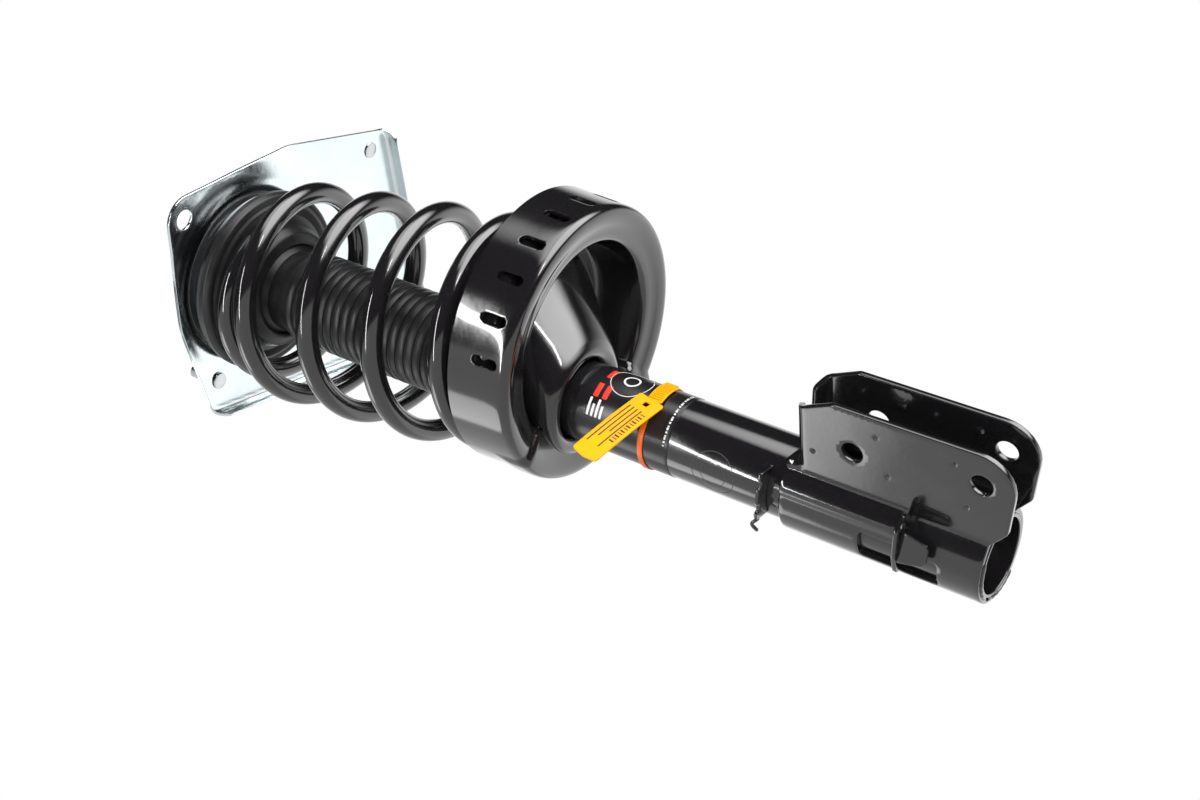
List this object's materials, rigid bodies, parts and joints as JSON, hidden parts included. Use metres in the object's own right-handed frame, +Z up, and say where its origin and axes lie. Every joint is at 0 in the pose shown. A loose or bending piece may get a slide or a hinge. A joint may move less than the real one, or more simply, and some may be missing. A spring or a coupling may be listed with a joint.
{
  "type": "suspension strut",
  "caption": "Front suspension strut with an off-centre coil spring, rubber boot, plated top plate and a forked knuckle bracket with holes for cross bolts.",
  "frame": {"origin": "on the damper's axis, at the upper face of the top mount's plate", "axes": "+Z up along the damper's axis towards the vehicle body; +X from the tube towards the knuckle bracket's ears; +Y along the knuckle bolts"},
  "size_m": [0.2956, 0.256, 0.6796],
  "materials": {
    "zinc_plate": "bright zinc plating, faintly mottled",
    "zinc_hardware": "bright zinc plating",
    "black_paint": "thick gloss black paint",
    "spring_paint": "smooth gloss black coating on the coil",
    "rubber": "matt moulded rubber",
    "foam": "closed cell foam, matt",
    "race_plastic": "moulded black plastic",
    "cage_plastic": "moulded natural plastic",
    "ball_steel": "polished bearing steel",
    "rod_chrome": "hard chromed and ground",
    "bare_steel": "drawn or turned steel, oily",
    "sinter": "sintered iron",
    "ptfe": "smooth bearing plastic",
    "label": "glossy printed film",
    "tag_plastic": "moulded yellow plastic",
    "strap_plastic": "thin orange strap"
  },
  "bodies": {
    "top_mount": {"mount_plate": "zinc_plate", "rubber_cup": "zinc_plate", "tower_studs": "zinc_hardware", "mount_rubber": "rubber", "mount_sleeve": "bare_steel", "dished_washer": "zinc_hardware", "rod_nut": "zinc_hardware", "upper_race": "race_plastic", "bump_stop": "foam", "piston_rod": "rod_chrome", "rebound_stop": "bare_steel", "piston": "sinter", "piston_ring": "ptfe", "piston_nut": "bare_steel"},
    "bearing_cage": {"ball_cage": "cage_plastic", "bearing_balls": "ball_steel"},
    "upper_seat": {"lower_race": "race_plastic", "upper_spring_seat": "black_paint", "upper_isolator": "rubber", "coil_spring": "spring_paint", "dust_boot": "rubber"},
    "strut_body": {"outer_tube": "black_paint", "inner_cylinder": "bare_steel", "foot_valve": "sinter", "base_cup": "black_paint", "rod_guide": "sinter", "rod_seal": "rubber", "tube_cap": "bare_steel", "lower_spring_seat": "black_paint", "lower_isolator": "rubber", "knuckle_bracket": "black_paint", "hose_tab": "black_paint", "lead_clip": "black_paint", "label_film": "label", "seal_tag": "tag_plastic", "tag_strap": "strap_plastic"}
  },
  "joints": [
    {"name": "steer_swivel", "type": "hinge", "parent": "top_mount", "child": "upper_seat", "pos_m": [0, 0, -0.001], "axis": [0, 0, 1], "range_deg": [-40, 40]},
    {"name": "cage_turn", "type": "hinge", "parent": "top_mount", "child": "bearing_cage", "pos_m": [0, 0, -0.001], "axis": [0, 0, 1], "range_deg": [-20, 20]},
    {"name": "strut_slide", "type": "slide", "parent": "upper_seat", "child": "strut_body", "axis": [0, 0, 1], "range_m": [0, 0.14], "stiffness_N_per_m": 25000, "springref_m": -0.05, "deforming": ["coil_spring", "dust_boot", "bump_stop"]}
  ],
  "couplings": [
    {"joint": "cage_turn", "follows": "steer_swivel", "ratio": 0.5}
  ]
}
